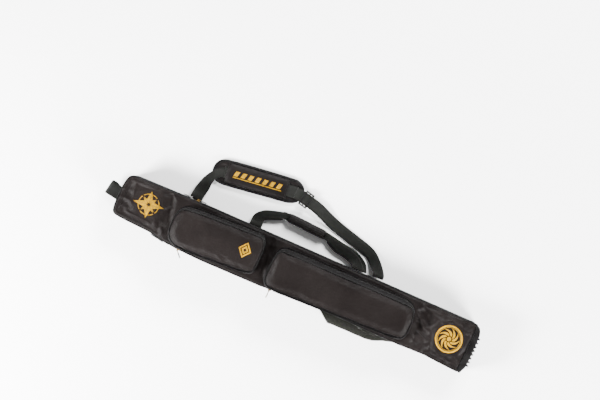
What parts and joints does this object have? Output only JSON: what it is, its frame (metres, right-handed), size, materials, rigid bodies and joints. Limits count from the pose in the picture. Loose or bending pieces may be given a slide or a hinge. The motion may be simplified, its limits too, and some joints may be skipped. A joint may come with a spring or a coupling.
{
  "type": "fishing rod case",
  "caption": "Long padded fabric rod case with an opening front cover, zipped front pockets, moulded base, net bottle pocket, grab handle and padded shoulder strap.",
  "frame": {"origin": "middle of the flat back face that the case lies on", "axes": "+X from the carry-loop end to the moulded base end, +Y towards the handle side, +Z out of the front face"},
  "size_m": [1.3336, 0.3954, 0.1388],
  "materials": {
    "shell_fabric": "woven black nylon, soft sheen",
    "panel_fabric": "woven black nylon, padded",
    "foam": "closed-cell foam board",
    "piping": "black corded piping",
    "boot_rubber": "moulded black rubber, ribbed",
    "zip_tape": "black twill tape",
    "zip_coil": "black nylon coil",
    "hardware": "antique brass",
    "webbing": "ribbed black webbing",
    "net": "open black net",
    "buckle_plastic": "black acetal",
    "gold_thread": "gold satin stitch",
    "pad_fabric": "black padded nylon",
    "grip_fabric": "black padded nylon"
  },
  "bodies": {
    "shell": {"back_panel": "shell_fabric", "back_foam_board": "foam", "back_piping": "piping", "gusset_handle_side": "shell_fabric", "gusset_top_end": "shell_fabric", "gusset_lower_side": "shell_fabric", "gusset_lower_base": "shell_fabric", "bottle_recess": "shell_fabric", "main_zip_tape_rear": "zip_tape", "main_zip_coil_rear": "zip_coil", "cover_hinge_binding": "piping", "base_boot": "boot_rubber", "strap_anchor_tabs": "webbing", "handle_anchor_tabs": "webbing", "bottle_pocket_rim": "piping", "bottle_pocket_mesh": "net", "side_buckle_female": "buckle_plastic", "side_buckle_tab": "webbing", "end_loop_patch": "shell_fabric", "rod_tie_straps": "webbing"},
    "cover": {"front_panel": "panel_fabric", "front_foam_board": "foam", "cover_rim": "shell_fabric", "main_zip_tape_front": "zip_tape", "main_zip_coil_front": "zip_coil", "front_piping": "piping", "emblem_left": "gold_thread", "emblem_roundel": "gold_thread", "pocket_1_gusset": "shell_fabric", "pocket_2_gusset": "shell_fabric", "pocket_1_zip_tape_lower": "zip_tape", "pocket_2_zip_tape_lower": "zip_tape"},
    "lid_1": {"pocket_1_lid": "panel_fabric", "pocket_1_piping": "piping", "pocket_1_zip_tape_upper": "zip_tape", "pocket_1_mark": "gold_thread"},
    "lid_2": {"pocket_2_lid": "panel_fabric", "pocket_2_piping": "piping", "pocket_2_zip_tape_upper": "zip_tape"},
    "slider_a": {"main_slider_a": "hardware"},
    "slider_b": {"main_slider_b": "hardware"},
    "pull_a": {"main_pull_a": "hardware"},
    "pull_b": {"main_pull_b": "hardware"},
    "slider_1": {"pocket_1_slider": "hardware"},
    "slider_2": {"pocket_2_slider": "hardware"},
    "pull_1": {"pocket_1_pull": "hardware"},
    "pull_2": {"pocket_2_pull": "hardware"},
    "handle": {"handle_web_front": "webbing", "handle_web_rear": "webbing", "grip_sleeve": "grip_fabric"},
    "flap": {"grip_flap": "grip_fabric"},
    "strap": {"strap_web": "webbing"},
    "pad": {"pad_body": "pad_fabric", "pad_sleeve": "pad_fabric", "pad_mark": "gold_thread"},
    "glide": {"tri_glide": "buckle_plastic"},
    "loop": {"end_loop_web": "webbing"},
    "buckle": {"side_buckle_male": "buckle_plastic", "side_strap_tail": "webbing"}
  },
  "joints": [
    {"name": "cover_hinge", "type": "hinge", "parent": "shell", "child": "cover", "pos_m": [0, -0.096, 0.0955], "axis": [1, 0, 0], "range_deg": [0, 110]},
    {"name": "pocket_1_lid_hinge", "type": "hinge", "parent": "cover", "child": "lid_1", "pos_m": [-0.38393, -0.092, 0.1384], "axis": [0.9972, 0.0751, 0], "range_deg": [0, 80]},
    {"name": "pocket_2_lid_hinge", "type": "hinge", "parent": "cover", "child": "lid_2", "pos_m": [-0.05595, -0.089, 0.1384], "axis": [0.9987, 0.0515, 0], "range_deg": [0, 80]},
    {"name": "main_slider_a_slide", "type": "slide", "parent": "shell", "child": "slider_a", "axis": [-0.9994, -0.0345, 0], "range_m": [0, 0.18]},
    {"name": "main_slider_b_slide", "type": "slide", "parent": "shell", "child": "slider_b", "axis": [0.9999, 0.0129, 0], "range_m": [0, 0.95]},
    {"name": "main_pull_a_hinge", "type": "hinge", "parent": "slider_a", "child": "pull_a", "pos_m": [-0.41422, 0.07959, 0.0702], "axis": [0, 0, 1], "range_deg": [-80, 0]},
    {"name": "main_pull_b_hinge", "type": "hinge", "parent": "slider_b", "child": "pull_b", "pos_m": [-0.39208, 0.08007, 0.0702], "axis": [0, 0, 1], "range_deg": [0, 80]},
    {"name": "pocket_1_slider_run", "type": "hinge", "parent": "cover", "child": "slider_1", "pos_m": [-0.384, -0.036, 0.1212], "axis": [0, 0, 1], "range_deg": [-90, 0]},
    {"name": "pocket_2_slider_run", "type": "hinge", "parent": "cover", "child": "slider_2", "pos_m": [-0.056, -0.056, 0.1212], "axis": [0, 0, 1], "range_deg": [-90, 0]},
    {"name": "pocket_1_pull_hinge", "type": "hinge", "parent": "slider_1", "child": "pull_1", "pos_m": [-0.384, -0.0974, 0.1212], "axis": [0, 0, 1], "range_deg": [-115, 38]},
    {"name": "pocket_2_pull_hinge", "type": "hinge", "parent": "slider_2", "child": "pull_2", "pos_m": [-0.056, -0.0944, 0.1212], "axis": [0, 0, 1], "range_deg": [-75, 75]},
    {"name": "grab_handle_hinge", "type": "hinge", "parent": "shell", "child": "handle", "pos_m": [-0.1866, 0.08432, 0.033], "axis": [0.9999, 0.0129, 0], "range_deg": [0, 80]},
    {"name": "grip_flap_hinge", "type": "hinge", "parent": "handle", "child": "flap", "pos_m": [-0.09843, 0.14081, 0.0269], "axis": [0.9992, -0.0398, 0], "range_deg": [0, 150]},
    {"name": "shoulder_strap_hinge", "type": "hinge", "parent": "shell", "child": "strap", "pos_m": [-0.40318, 0.08753, 0.035], "axis": [0.9999, 0.0129, 0], "range_deg": [0, 80]},
    {"name": "shoulder_pad_slide", "type": "slide", "parent": "strap", "child": "pad", "axis": [0.9895, 0.1445, 0], "range_m": [-0.012, 0]},
    {"name": "tri_glide_slide", "type": "slide", "parent": "strap", "child": "glide", "axis": [0.9787, -0.2052, 0], "range_m": [0, 0.02]},
    {"name": "carry_loop_hinge", "type": "hinge", "parent": "shell", "child": "loop", "pos_m": [-0.646, -0.0095, 0.041], "axis": [0, 1, 0], "range_deg": [0, 61]},
    {"name": "side_buckle_slide", "type": "slide", "parent": "shell", "child": "buckle", "axis": [0.9842, -0.1772, 0], "range_m": [0, 0.025]}
  ]
}
